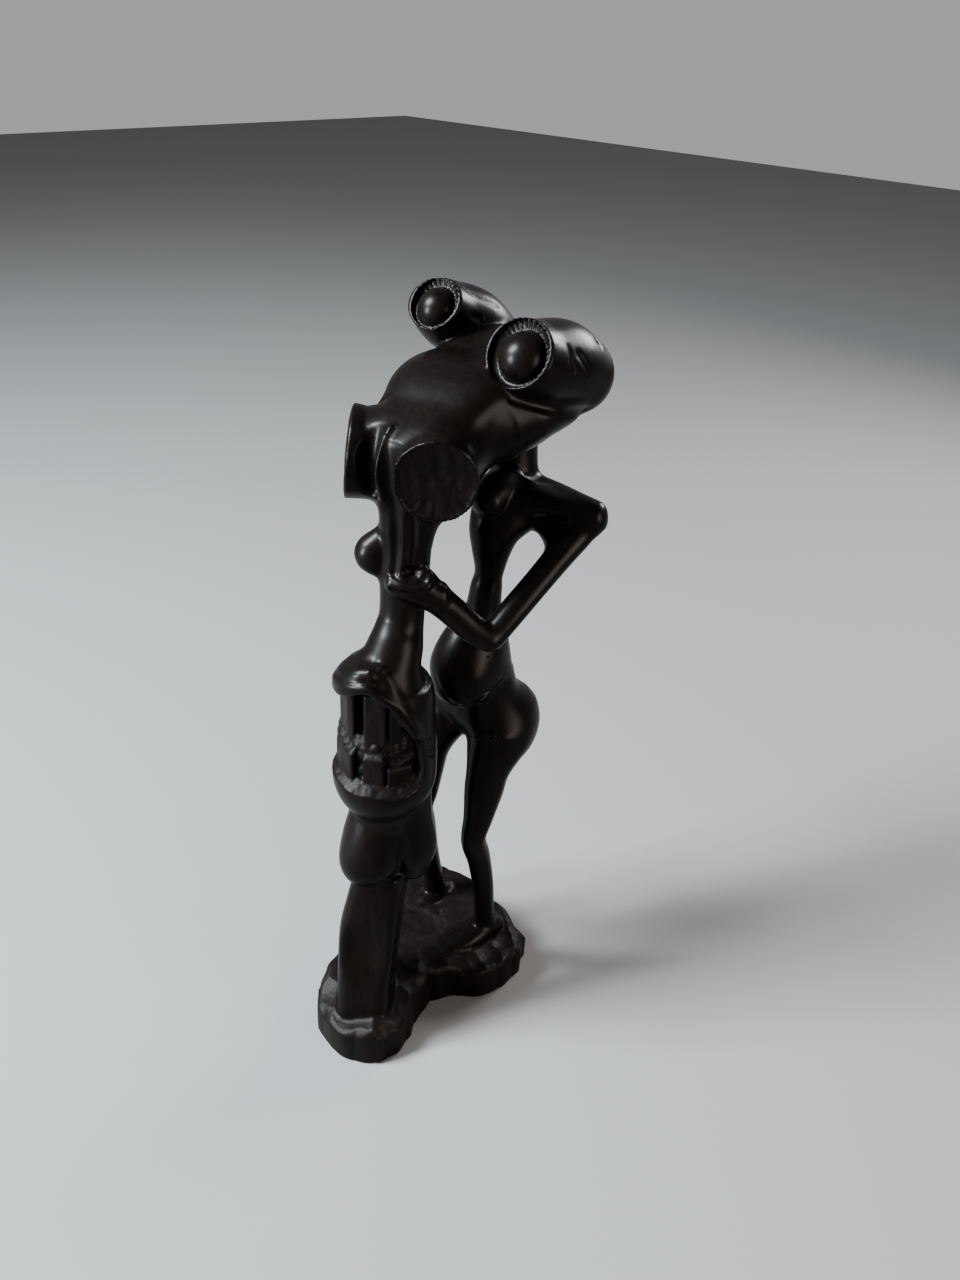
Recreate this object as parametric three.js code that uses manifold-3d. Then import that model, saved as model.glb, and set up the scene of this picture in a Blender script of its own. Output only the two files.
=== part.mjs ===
// Carved wooden unity figurine: a thin spirit figure and the pillar it holds, cut from one block of blackwood.
// The figure faces -y with its left side at +x, and z is up from the underside of the base. A pillar rises in
// front of it: a foot, a bulb, a head that is all mouth, and a stem that runs up into the figure's own nose.
// The figure's left arm bends down and forward, and its hand grips the stem.
// All sizes are in millimetres.
import * as THREE from "three";
import { LoftGeometry } from "three/addons/geometries/LoftGeometry.js";
import { mergeVertices } from "three/addons/utils/BufferGeometryUtils.js";
import Module from "manifold-3d";

// Driving dimensions
const BASE_THICK = 21;
const BASE_FALL = 6; // how far the top falls to the worn rim in front and on the left
const MOUTH_FLOOR = 129; // height of the lower lip
const MOUTH_ARCH = 171; // height of the upper lip's edge in the middle
const MOUTH_BACK = 11.5; // the mouth's back wall, from the pillar's middle line
const MOUTH_LINE = { x: 0, y: -25 };
const TOOTH_FACE = 15.6; // the teeth's faces, from the same line
const NOSTRIL_DISH = 0.8; // depth of the dish in the disc of a nostril

const LEFT = 1;
const RIGHT = -1;
const X_AXIS = new THREE.Vector3(1, 0, 0);
const Z_AXIS = new THREE.Vector3(0, 0, 1);

const wasm = await Module();
wasm.setup();

const radians = THREE.MathUtils.degToRad;
const vector = (x, y, z) => new THREE.Vector3(x, y, z);

// A closed geometry as a solid that can be joined and cut.
function solid(geometry) {
  const plain = new THREE.BufferGeometry().copy(geometry);
  plain.deleteAttribute("normal");
  plain.deleteAttribute("uv");
  const merged = mergeVertices(plain, 1e-4);
  const corners = merged.index.array;
  const kept = [];
  for (let i = 0; i < corners.length; i += 3) {
    const [a, b, c] = [corners[i], corners[i + 1], corners[i + 2]];
    if (a !== b && b !== c && c !== a) kept.push(a, b, c);
  }
  return new wasm.Manifold(
    new wasm.Mesh({
      numProp: 3,
      vertProperties: merged.attributes.position.array,
      triVerts: new Uint32Array(kept),
    }),
  );
}

const joined = (solids) => solids.reduce((all, next) => all.add(next));

// One cross-section of a limb: its middle, and its half width and half depth.
const cut = (x, y, z, wide, deep = wide) => ({ x, y, z, wide, deep });

// A point of an oval: square 2 is an ellipse, and more is closer to a box.
const squared = (value, square) => Math.sign(value) * Math.abs(value) ** (2 / square);

// A limb: an oval section is carried along a spline through its cuts and changes size on the way. across is the
// direction of the half width. start and end are the lengths of the domed ends, as shares of the section's size.
function limb(cuts, { across = X_AXIS, sides = 14, steps = 1, square = 2, start = 0, end = 0 } = {}) {
  const spine = new THREE.CatmullRomCurve3(cuts.map((c) => vector(c.x, c.y, c.z)), false, "catmullrom");
  const girth = new THREE.CatmullRomCurve3(cuts.map((c) => vector(c.wide, c.deep, 0)), false, "catmullrom");
  const ring = (t, share = 1, along = 0) => {
    const tangent = spine.getTangent(t);
    const wideWay = across.clone().addScaledVector(tangent, -across.dot(tangent)).normalize();
    const deepWay = new THREE.Vector3().crossVectors(tangent, wideWay);
    const size = girth.getPoint(t);
    const middle = spine.getPoint(t).addScaledVector(tangent, along * Math.min(size.x, size.y));
    return Array.from({ length: sides }, (_, i) => {
      const angle = ((i + 0.5) / sides) * 2 * Math.PI;
      return middle
        .clone()
        .addScaledVector(wideWay, size.x * share * squared(Math.cos(angle), square))
        .addScaledVector(deepWay, size.y * share * squared(Math.sin(angle), square));
    });
  };
  const count = (cuts.length - 1) * steps;
  const sections = Array.from({ length: count + 1 }, (_, i) => ring(i / count));
  for (const tilt of [0.45, 0.95, 1.35]) {
    if (start) sections.unshift(ring(0, Math.cos(tilt), -start * Math.sin(tilt)));
    if (end) sections.push(ring(1, Math.cos(tilt), end * Math.sin(tilt)));
  }
  return solid(new LoftGeometry(sections, { capStart: true, capEnd: true }));
}

// An ellipsoid by its middle and three radii.
function ball(x, y, z, rx, ry = rx, rz = rx, around = 14) {
  const geometry = new THREE.SphereGeometry(1, around, Math.round(around * 0.6));
  geometry.rotateX(Math.PI / 2).scale(rx, ry, rz).translate(x, y, z);
  return solid(geometry);
}

// A round rod of one length from a middle along a direction, from one radius to another.
function rod(middle, direction, length, from, to = from, around = 20) {
  const geometry = new THREE.CylinderGeometry(to, from, length, around).translate(0, length / 2, 0);
  const turn = new THREE.Quaternion().setFromUnitVectors(vector(0, 1, 0), direction.clone().normalize());
  return solid(geometry.applyQuaternion(turn).translate(middle.x, middle.y, middle.z));
}

// The base: one uneven outline with a waist, a lobe under the pillar in front and a wide lobe under the feet.
// Its rim is worn, and its top falls away in front and on the left.
function base() {
  const outline = [
    [-9, -54], [4, -57], [15, -51], [21, -39], [17, -25], [17, -12], [24, 1], [31, 14], [31, 30],
    [16, 42], [-4, 43], [-22, 43], [-34, 33], [-32, 12], [-24, -8], [-25, -28], [-18, -44],
  ];
  const curve = new THREE.CatmullRomCurve3(outline.map(([x, y]) => vector(x, y, 0)), true, "catmullrom");
  const sides = 38;
  const level = (inset, height) =>
    Array.from({ length: sides }, (_, i) => {
      const tangent = curve.getTangent(i / sides);
      const point = curve.getPoint(i / sides);
      const front = THREE.MathUtils.smoothstep(-point.y, 36, 56);
      const near = THREE.MathUtils.smoothstep(point.x, 6, 24);
      const fall = height > 5 ? BASE_FALL * Math.max(front, near) * (height / BASE_THICK) : 0;
      return vector(point.x - tangent.y * inset, point.y + tangent.x * inset, height - fall);
    });
  const sections = [level(1.5, 0), level(0, 1.5), level(0.3, 10), level(1, BASE_THICK - 2.5), level(3.5, BASE_THICK)];
  return solid(new LoftGeometry(sections, { capStart: true, capEnd: true }));
}

// The foot of the pillar: a squared post with one keen edge on the figure's left.
function pillarFoot() {
  return limb(
    [
      cut(2, -38, 10, 12.5, 12),
      cut(1.5, -37, 24, 11, 11.5),
      cut(0.5, -34.5, 40, 11.8, 12.2),
      cut(0, -32, 55, 12, 12),
      cut(0, -29.5, 68, 11, 11.5),
      cut(0, -27, 80, 9.5, 10),
    ],
    { square: 2.6 },
  );
}

// The bulb under the mouth: a large lobe in front, a tall one on the left and a small one behind on the right.
function bulb() {
  return joined([
    limb([cut(0, -26, 70, 10), cut(0, -23, 84, 10.5), cut(0, -22.5, 100, 11.5), cut(0, -24, 116, 13)]),
    limb([cut(-1.5, -29, 80, 11, 10.5), cut(-2, -29, 89, 13.2, 12.6), cut(-1.5, -28, 99, 10.5, 10.5)], {
      start: 0.75,
      end: 1,
    }),
    limb([cut(9, -18, 82, 6, 7), cut(10, -18, 92, 7.5, 9), cut(8.5, -19, 106, 7.5, 8.5), cut(8, -20, 119, 8, 9)], { start: 0.9 }),
    ball(-9, -17, 98, 8, 9, 13),
  ]);
}

// The head of the pillar and the stem above it.
function mouthBlock() {
  return limb(
    [
      cut(0, -24, 108, 12),
      cut(0, -24.5, 115, 13.8),
      cut(0, -25, 121, 18, 18.2),
      cut(0, -25.2, 127, 19.2),
      cut(0, -25, 138, 19, 19.2),
      cut(0, -24.5, 150, 18.2, 18.6),
      cut(0, -25.5, 162, 17.8, 18),
      cut(0, -26.5, 169, 17.6, 17.6),
      cut(0, -26.6, 173, 16.6, 16.4),
      cut(0, -25.5, 177.5, 14.4, 14),
      cut(0, -23, 181.5, 11.6, 11.8),
      cut(0, -20, 186, 9.4, 9.8),
      cut(0, -18, 191, 8.4),
      cut(0, -16.5, 199, 8),
      cut(0, -16, 208, 8.6),
      cut(0, -15.5, 216, 8.8, 8.6),
      cut(0, -15, 226, 9.6, 9.2),
      cut(0, -13, 238, 12, 11),
    ],
    { sides: 20 },
  );
}

// A point of the mouth: its angle round the pillar from the front, its distance from the middle line, its height.
const round = (angle, far, height) =>
  vector(MOUTH_LINE.x + far * Math.sin(radians(angle)), MOUTH_LINE.y - far * Math.cos(radians(angle)), height);

// The hollow of the mouth: flat below, arched above, and highest a little to the left of the middle.
function mouthHollow() {
  const middle = 10;
  const half = 73;
  const count = 12;
  const sections = Array.from({ length: count + 1 }, (_, i) => {
    const share = (2 * i) / count - 1;
    const angle = middle + share * half;
    const roof = MOUTH_ARCH - 16.5 * share ** 2;
    const floor = MOUTH_FLOOR + 2 * share ** 4;
    return [
      round(angle, 30, floor - 2),
      round(angle, 18.2, floor),
      round(angle, 14.5, floor + 5),
      round(angle, MOUTH_BACK, floor + 5),
      round(angle, MOUTH_BACK, roof - 3),
      round(angle, 14.5, roof),
      round(angle, 30, roof + 2),
    ];
  });
  return solid(new LoftGeometry(sections, { capStart: true, capEnd: true }));
}

// The thick edge of the upper lip, which follows the arch of the hollow.
function upperLip() {
  const arch = (share) => cut(...round(10 + share * 73, 17, MOUTH_ARCH + 1.5 - 16.5 * share ** 2).toArray(), 2.6, 2.8);
  return limb([-1, -0.75, -0.5, -0.25, 0, 0.25, 0.5, 0.75, 1].map(arch), { across: Z_AXIS, sides: 8, start: 0.8, end: 0.8 });
}

// A tooth: a profile of distances and heights, as wide as the angle from one side to the other.
function tooth(profile, from, to) {
  const angle = radians((from + to) / 2);
  const width = 2 * TOOTH_FACE * Math.tan(radians(to - from) / 2);
  const shape = new THREE.Shape(profile.map(([far, height]) => new THREE.Vector2(far, height)));
  const geometry = new THREE.ExtrudeGeometry(shape, { depth: width, bevelEnabled: false }).translate(0, 0, -width / 2);
  const outward = vector(Math.sin(angle), -Math.cos(angle), 0);
  const basis = new THREE.Matrix4().makeBasis(outward, Z_AXIS, outward.clone().cross(Z_AXIS));
  return solid(geometry.applyMatrix4(basis).translate(MOUTH_LINE.x, MOUTH_LINE.y, 0));
}

// Upper teeth hang from the arch, and lower teeth stand on the floor with their tops chopped back at a slope.
function teeth() {
  const upper = (from, to, bottom) =>
    tooth([[9, bottom + 1], [TOOTH_FACE - 0.6, bottom], [TOOTH_FACE, bottom + 2], [TOOTH_FACE, 170], [9, 170]], from, to);
  const lower = (from, to, top) =>
    tooth([[9, 128], [TOOTH_FACE, 128], [TOOTH_FACE, top], [10.5, top + 6], [9, top + 6]], from, to);
  return joined([
    upper(-52, -26, 152),
    upper(-22, 13, 157),
    upper(17, 49, 150.5),
    upper(52, 71, 147.5),
    lower(-42, -5, 145),
    lower(11, 42, 143),
    lower(49, 80, 139.5),
  ]);
}

function leg(side) {
  const spread = side === LEFT ? 0 : 6;
  const x = (offset) => side * offset;
  return limb(
    [
      cut(x(6), 26, 150, 7, 9),
      cut(x(9.5), 28.5, 136, 11, 14.5),
      cut(x(11.5), 30.5, 123, 12, 18.5),
      cut(x(12.5), 26, 111, 10.6, 15),
      cut(x(13), 19.5, 100, 7.8, 10),
      cut(x(13.2), 14.5, 89, 5.8, 7),
      cut(x(13.5 + spread * 0.3), 12.5, 79, 4.8, 6),
      cut(x(13 + spread * 0.6), 17.5, 66, 4.6, 5.6),
      cut(x(13 + spread), 21.5, 48, 4.4, 5.2),
      cut(x(12.5 + spread), 24, 31, 4.2, 5),
      cut(x(12 + spread), 25, 18, 5, 6),
    ],
    { sides: 14 },
  );
}

function foot(side) {
  const spread = side === LEFT ? 0 : 4;
  const x = (offset) => side * (offset + spread);
  return limb([cut(x(14), 33, 20, 4.2, 4), cut(x(12.5), 25, 22, 5, 5.5), cut(x(9), 10, 20.5, 5.5, 5), cut(x(5), -2, 19, 4.5, 3.5)], {
    sides: 12,
    start: 0.8,
    end: 0.8,
    square: 2.5,
  });
}

function torso() {
  return joined([
    limb([
      cut(1, 30, 116, 14, 12),
      cut(2, 27, 130, 17, 14),
      cut(3, 25, 144, 14.5, 12.5),
      cut(4, 22, 158, 12, 11.5),
      cut(4.5, 20.5, 170, 9, 9.5),
      cut(5, 20.5, 182, 5.6, 6.2),
      cut(6, 21.5, 192, 4.5, 5),
      cut(6, 23.5, 200, 5.4, 5.6),
      cut(6, 26, 208, 9, 7),
      cut(7, 30.5, 216, 14, 9),
      cut(7, 36, 225, 14, 9),
    ]),
    limb([cut(5, 20, 180, 5), cut(3.5, 15, 170, 9.5), cut(3, 12, 160, 12.5, 12), cut(3.5, 11.5, 151, 11.5, 11)], { start: 0.7, end: 0.9, steps: 2 }),
  ]);
}

function shouldersAndNeck() {
  return joined([
    limb([cut(-10, 38, 221, 5, 6), cut(2, 41, 223, 7, 7), cut(18, 44, 222, 8, 7), cut(32, 46, 217, 6, 5)], {
      across: Z_AXIS,
      start: 0.7,
      end: 0.5,
    }),
    limb([cut(4, 39, 221, 9, 8), cut(3, 38, 234, 6.5, 8), cut(1, 38, 250, 8, 10)]),
    limb([cut(7, 34, 225, 6), cut(6, 20, 227, 5.2)], { end: 0.9, steps: 2 }),
  ]);
}

function arm() {
  return joined([
    limb([cut(33, 47, 216, 5.5, 5), cut(30.5, 35, 210, 8.6, 5), cut(28, 25, 200, 6, 4.8), cut(24, 4, 181, 4.6, 4.4)], {
      across: Z_AXIS,
      sides: 12,
      start: 0.6,
      end: 0.9,
      steps: 2,
    }),
    limb([cut(24, 4, 181, 4.6, 4.4), cut(16, -2, 190, 4.6, 4.3), cut(9.5, -9, 199, 4.8, 4.4)], {
      across: Z_AXIS,
      sides: 12,
      start: 0.9,
      steps: 2,
    }),
  ]);
}

// The hand: palm and fingers wrap the stem from the left, and the thumb lies above them.
function hand() {
  return joined([
    limb([cut(10, -8, 199, 4.6, 4.2), cut(8.5, -14, 202, 5, 4), cut(6, -21, 203, 4, 3), cut(1, -24.5, 205, 2.6, 2.2)], {
      across: Z_AXIS,
      sides: 12,
      end: 0.9,
      steps: 2,
    }),
    limb([cut(9, -9, 204, 3.2, 3), cut(8, -15, 207.5, 2.8, 2.6), cut(6.5, -19.5, 207.5, 2.2)], {
      across: Z_AXIS,
      sides: 10,
      start: 0.8,
      end: 0.9,
    }),
  ]);
}

function knob() {
  return ball(-7.5, -22.5, 214.5, 6.6, 6.6, 6.8, 14);
}

// The head: a broad shield that slopes from the brow down to the nose, with flat cheeks under it.
function head() {
  return limb(
    [
      cut(0, 54, 262.5, 19, 12),
      cut(0, 44, 263, 22.5, 17.5),
      cut(0, 31, 262, 23, 19.5),
      cut(0, 19, 259.5, 24, 17.5),
      cut(-1, 7, 257, 25.8, 16.5),
      cut(0, -5, 252, 22, 15),
      cut(0, -16, 247, 13, 13),
      cut(0, -23, 245, 7, 12),
    ],
    { square: 3.4, sides: 22, start: 0.6, end: 0.3 },
  );
}

// The root of the nose, which spreads from the stem back under the left nostril.
function noseRoot() {
  return limb([cut(0.5, -15, 222, 8.4), cut(2.5, -12.5, 229, 9.6), cut(6.5, -9.5, 236, 11.5), cut(6, -7, 244, 12)]);
}

// A nostril: a flared barrel that ends in a flat disc.
function nostril(side) {
  const barrel =
    side === LEFT
      ? [cut(4, -5, 249, 12), cut(12, -13.5, 247.5, 12.2), cut(18.5, -20.5, 246, 13.4)]
      : [cut(-4, -5, 247, 13), cut(-11, -12.5, 245.5, 13.2), cut(-16.5, -16.5, 245, 13.6), cut(-20, -19.5, 244.5, 14.6)];
  const [inner, disc] = barrel.slice(-2);
  const direction = vector(disc.x - inner.x, disc.y - inner.y, disc.z - inner.z).normalize();
  const middle = vector(disc.x, disc.y, disc.z);
  const dish = rod(middle.addScaledVector(direction, -NOSTRIL_DISH), direction, 3, disc.wide - 1.3);
  return limb(barrel, { across: Z_AXIS, sides: 18, steps: 2 }).subtract(dish);
}

// An eye: a fat tube that slopes down to the back, and in its open front a socket with a ball.
const EYES = [
  {
    tube: [cut(21.5, 12.5, 282.8, 12.8), cut(21, 21, 278.8, 14), cut(21, 34, 275.5, 14.4), cut(20.5, 44, 270, 13.6)],
    ball: 8.2,
    socket: 11.2,
  },
  {
    tube: [cut(-22, 19.5, 289, 10), cut(-22.5, 27.5, 284.5, 12.4), cut(-21.5, 38, 279, 13.5), cut(-21, 47, 271, 13)],
    ball: 7.2,
    socket: 8.6,
  },
];

function look(eye) {
  const [front, next] = eye.tube;
  return vector(front.x - next.x, front.y - next.y, front.z - next.z).normalize();
}

function withEye(solidSoFar, eye) {
  const [front] = eye.tube;
  const direction = look(eye);
  const middle = vector(front.x, front.y, front.z);
  const bottom = middle.clone().addScaledVector(direction, -3);
  const pupil = middle.clone().addScaledVector(direction, -2.5).add(vector(0, 0, -1.5));
  return solidSoFar
    .add(limb(eye.tube, { across: Z_AXIS, sides: 18, end: 0.95 }))
    .subtract(rod(bottom, direction, 4, eye.socket - 1, eye.socket + 0.5))
    .add(ball(pupil.x, pupil.y, pupil.z, eye.ball));
}

const sides = [LEFT, RIGHT];
let figure = mouthBlock().subtract(mouthHollow()).add(teeth()).add(upperLip());
figure = joined([
  figure,
  base(),
  pillarFoot(),
  bulb(),
  torso(),
  shouldersAndNeck(),
  arm(),
  hand(),
  knob(),
  head(),
  noseRoot(),
  ...sides.map(leg),
  ...sides.map(foot),
  ...sides.map(nostril),
]);
for (const eye of EYES) figure = withEye(figure, eye);

// A solid as a mesh's geometry.
function geometryOf(made) {
  const mesh = made.getMesh();
  return new THREE.BufferGeometry()
    .setAttribute("position", new THREE.BufferAttribute(new Float32Array(mesh.vertProperties), 3))
    .setIndex(new THREE.BufferAttribute(mesh.triVerts, 1));
}

const blackwood = new THREE.MeshStandardMaterial({ color: 0x1c1512, roughness: 0.3, metalness: 0 });
const figurine = new THREE.Group();
const body = new THREE.Mesh(geometryOf(figure), blackwood);
body.name = "unity_figurine";
figurine.add(body);

export default figurine;
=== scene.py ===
"""Carved blackwood unity figurine: a thin spirit figure and the pillar it holds, cut from one block.

The carving is worked out in millimetres as one block of depths on a grid: each limb is an oval section
carried along a curve, limbs run softly into each other, and hollows are cut out. The surface of the block
is then drawn as one mesh, which takes the place of the plain solid. The figure faces -y, its left side is
at +x, and z is up.
"""

import math

import bpy
import numpy as np
from mathutils import Matrix, Vector


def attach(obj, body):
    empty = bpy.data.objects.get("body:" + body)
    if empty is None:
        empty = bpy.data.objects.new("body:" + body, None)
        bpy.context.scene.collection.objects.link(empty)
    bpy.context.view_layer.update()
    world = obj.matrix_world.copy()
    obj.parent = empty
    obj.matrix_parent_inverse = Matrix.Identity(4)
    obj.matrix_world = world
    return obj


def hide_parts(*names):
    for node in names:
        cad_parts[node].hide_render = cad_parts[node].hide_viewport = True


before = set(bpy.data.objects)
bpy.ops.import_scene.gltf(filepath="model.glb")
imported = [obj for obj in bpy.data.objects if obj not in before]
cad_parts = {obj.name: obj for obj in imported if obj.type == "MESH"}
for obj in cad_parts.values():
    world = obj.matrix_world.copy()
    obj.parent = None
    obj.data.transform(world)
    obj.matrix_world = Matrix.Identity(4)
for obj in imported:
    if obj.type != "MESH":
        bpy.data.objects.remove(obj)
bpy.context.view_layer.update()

MM = 0.001

# The block: a grid of depths, negative inside the wood
STEP = 0.6
LOW = (-41.0, -63.0, -3.0)
HIGH = (44.0, 67.0, 303.0)
OUTSIDE = 9.0
DEEPEST = -30
GRID = [np.arange(low, high, STEP, dtype=np.float32) for low, high in zip(LOW, HIGH)]
block = np.full([len(line) for line in GRID], OUTSIDE, np.float32)
finished = block.copy()

ALONG_X = (1.0, 0.0, 0.0)
ALONG_Z = (0.0, 0.0, 1.0)
LEFT, RIGHT = 1, -1


def window(low, high):
    """Part of the grid between two corners: its slices, and its x, y and z shaped so that they broadcast."""
    slices, lines = [], []
    for axis, line in enumerate(GRID):
        first = max(int((low[axis] - LOW[axis]) / STEP), 0)
        last = min(int((high[axis] - LOW[axis]) / STEP) + 2, len(line))
        slices.append(slice(first, max(last, first + 1)))
        lines.append(line[slices[-1]].reshape([-1 if axis == other else 1 for other in range(3)]))
    return tuple(slices), lines


def smooth(value, low, high):
    """Smoothstep: 0 below low, 1 above high, and 3t^2 - 2t^3 between."""
    t = np.clip((value - low) / (high - low), 0, 1)
    return t * t * (3 - 2 * t)


def soft_min(a, b, soft):
    """Lesser of two depths, less soft/4 (1 - |a - b| / soft)^2 where they are within soft of each other."""
    near = np.clip(1 - np.abs(a - b) / soft, 0, 1)
    return np.minimum(a, b) - near * near * soft / 4


def soft_max(a, b, soft):
    """Greater of two depths, rounded in the same way."""
    return -soft_min(-a, -b, soft)


def join(part, soft=2.0, rough=False):
    """Adds a part to the block, with a fillet of about soft where they meet. A rough part is left out of
    the finished form, whose distance later tells the rough surfaces from the polished ones."""
    where, depth = part
    block[where] = soft_min(block[where], depth, soft)
    if not rough:
        finished[where] = soft_min(finished[where], depth, soft)


def carve(part, soft=0.8, rough=False):
    """Cuts a part out of the block, and out of the finished form unless it is left rough."""
    where, depth = part
    block[where] = soft_max(block[where], -depth, soft)
    if not rough:
        finished[where] = soft_max(finished[where], -depth, soft)


def curve_through(rows, per):
    """Catmull-Rom curve through rows of numbers: per points in each span, ends extended in line."""
    rows = np.array(rows, float)
    ends = np.vstack([2 * rows[0] - rows[1], rows, 2 * rows[-1] - rows[-2]])
    t = (np.arange(per) / per)[:, None]
    spans = []
    for a, b, c, d in zip(ends, ends[1:], ends[2:], ends[3:]):
        square, cube = (2 * a - 5 * b + 4 * c - d) * t**2, (3 * b - a - 3 * c + d) * t**3
        spans.append(0.5 * (2 * b + (c - a) * t + square + cube))
    return np.vstack(spans + [rows[-1:]])


def oval(u, v, wide, deep, square):
    """Depth from a superellipse to first order: (r - 1) / |gradient of r|, where r^n = |u/wide|^n +
    |v/deep|^n."""
    if square == 2:
        r = np.sqrt((u / wide) ** 2 + (v / deep) ** 2) + 1e-6
        slope = np.sqrt((u / wide**2) ** 2 + (v / deep**2) ** 2) / r
    else:
        au = np.abs(u / wide) + 1e-6
        av = np.abs(v / deep) + 1e-6
        r = (au**square + av**square) ** (1 / square)
        slope = r ** (1 - square) * np.sqrt((au ** (square - 1) / wide) ** 2 + (av ** (square - 1) / deep) ** 2)
    return np.clip((r - 1) / (slope + 1e-6), DEEPEST, OUTSIDE)


def limb(cuts, across=ALONG_X, square=2.0, start=0.0, end=0.0, per=4, reach=8.0):
    """An oval section carried along a curve. Each cut is x, y, z, half width, half depth, and the width
    lies as near as it can to the direction across. Between two rings of the curve, a point's share is its
    distance from the first ring's plane over both distances, and its depth is that of the oval there. start
    and end are the lengths of the domed ends, as shares of the section; 0 is a flat end."""
    rows = curve_through([(*cut, cut[-1]) if len(cut) == 4 else cut for cut in cuts], per)
    centres, sizes = rows[:, :3], rows[:, 3:]
    tangents = np.gradient(centres, axis=0)
    tangents /= np.linalg.norm(tangents, axis=1, keepdims=True)
    wides = np.array(across) - (tangents @ np.array(across))[:, None] * tangents
    wides /= np.linalg.norm(wides, axis=1, keepdims=True)
    deeps = np.cross(tangents, wides).astype(np.float32)
    wides = wides.astype(np.float32)
    span = sizes.max() + reach
    lowest, highest = centres.min(0) - span, centres.max(0) + span
    where, whole = window(lowest, highest)
    depth = np.full([line.size for line in whole], OUTSIDE, np.float32)
    last = len(centres) - 2
    for i in range(last + 1):
        a, b = centres[i], centres[i + 1]
        span = sizes[i : i + 2].max() * 1.15 + reach
        near, lines = window(
            np.maximum(np.minimum(a, b) - span, lowest), np.minimum(np.maximum(a, b) + span, highest))
        to_a = [line - np.float32(c) for line, c in zip(lines, a)]
        before = sum(line * np.float32(c) for line, c in zip(to_a, tangents[i]))
        after = sum((line - np.float32(c)) * np.float32(d) for line, c, d in zip(lines, b, tangents[i + 1]))
        share = np.clip(before / np.maximum(before - after, 1e-3), 0, 1)
        share = np.where(before < 0, 0, np.where(after > 0, 1, share)).astype(np.float32)
        offset = [line - share * np.float32(c) for line, c in zip(to_a, b - a)]
        u = sum(o * (c + share * (d - c)) for o, c, d in zip(offset, wides[i], wides[i + 1]))
        v = sum(o * (c + share * (d - c)) for o, c, d in zip(offset, deeps[i], deeps[i + 1]))
        size = [np.float32(c) + share * np.float32(d - c) for c, d in zip(sizes[i], sizes[i + 1])]
        found = oval(u, v, size[0], size[1], square)
        for beyond, dome, at_end, ring in ((-before, start, i == 0, i), (after, end, i == last, i + 1)):
            if not at_end:
                found = np.where(beyond > 0, OUTSIDE, found)
            elif dome == 0:
                found = np.maximum(found, beyond)
            else:
                small = sizes[ring].min()
                domed = oval(np.hypot(u / size[0], v / size[1]) * small, beyond, small, small * dome, 2)
                found = np.where(beyond > 0, domed, found)
        inner = tuple(slice(n.start - w.start, n.stop - w.start) for n, w in zip(near, where))
        depth[inner] = np.minimum(depth[inner], found)
    return where, depth


def lump(x, y, z, rx, ry=None, rz=None, reach=8.0):
    """An ellipsoid: (r - 1) / |gradient of r| with r the length of the point over its three radii."""
    radii = np.array([rx, ry or rx, rz or rx])
    middle = np.array([x, y, z])
    where, lines = window(middle - radii - reach, middle + radii + reach)
    scaled = [(line - c) / r for line, c, r in zip(lines, middle.astype(np.float32), radii.astype(np.float32))]
    r = np.sqrt(sum(s * s for s in scaled)) + 1e-6
    slope = np.sqrt(sum((s / q) ** 2 for s, q in zip(scaled, radii))) / r
    return where, np.clip((r - 1) / (slope + 1e-6), DEEPEST, OUTSIDE)


def scoops(x, y, spacing, bend, seed):
    """Gouge marks: the least of shallow bowls d^2 / (2 bend) about scattered points, so that ridges stand
    between them."""
    rng = np.random.default_rng(seed)
    least = np.full(np.broadcast(x, y).shape, 1e9)
    for cx in np.arange(float(x.min()) - spacing, float(x.max()) + spacing, spacing):
        for cy in np.arange(float(y.min()) - spacing, float(y.max()) + spacing, spacing):
            px, py = (cx, cy) + rng.uniform(-0.4, 0.4, 2) * spacing
            least = np.minimum(least, ((x - px) ** 2 + (y - py) ** 2) / (2 * bend) + rng.uniform(-0.5, 0.5))
    return least


# The base
BASE_THICK = 21.0
BASE_FALL = 6.0
BASE_HUMP = 1.2
CORNER_FALL = 4
BASE_OUTLINE = [
    (-17, -48), (-11, -53.4), (3, -56.2), (11, -54.8), (20, -47.6), (22, -38), (19.8, -28.5), (15.2, -19),
    (13, -10), (17, -2), (27, 7.6), (30.4, 18), (29.6, 31), (24.6, 40.4), (8, 41.4), (-12, 44.4), (-30, 40),
    (-35, 21), (-28, -2), (-24.4, -21), (-22.6, -38),
]
# Worn facets on the upper edge: x, y, the outward way there, a radius and a depth
RIM_FACETS = [
    (-20, -43, -0.87, -0.49, 11, 2.6), (-7, -54.5, -0.3, -0.95, 9, 1.8), (20.8, -43, 0.9, -0.4, 8, 1.6),
    (14.6, -16, 0.85, -0.5, 7, 1.2), (24, 4, 0.6, -0.8, 9, 1.4), (30, 24, 1, 0.1, 9, 1.6),
    (-31, 8, -0.95, -0.3, 10, 2),
]


def outline_distance(points, x, y):
    """Distance to a closed outline on the plane, negative inside: the least over its edges, with the sign
    from how many edges a ray crosses."""
    least = np.full(np.broadcast(x, y).shape, 1e9)
    odd = np.zeros(least.shape, bool)
    for (ax, ay), (bx, by) in zip(points, np.roll(points, -1, axis=0)):
        dx, dy = bx - ax, by - ay
        t = np.clip(((x - ax) * dx + (y - ay) * dy) / (dx * dx + dy * dy), 0, 1)
        least = np.minimum(least, (x - ax - t * dx) ** 2 + (y - ay - t * dy) ** 2)
        crosses = (ay > y) != (by > y)
        odd ^= crosses & (x < ax + (y - ay) * dx / (dy if dy else 1e-9))
    return np.sqrt(least) * np.where(odd, -1, 1)


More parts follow.
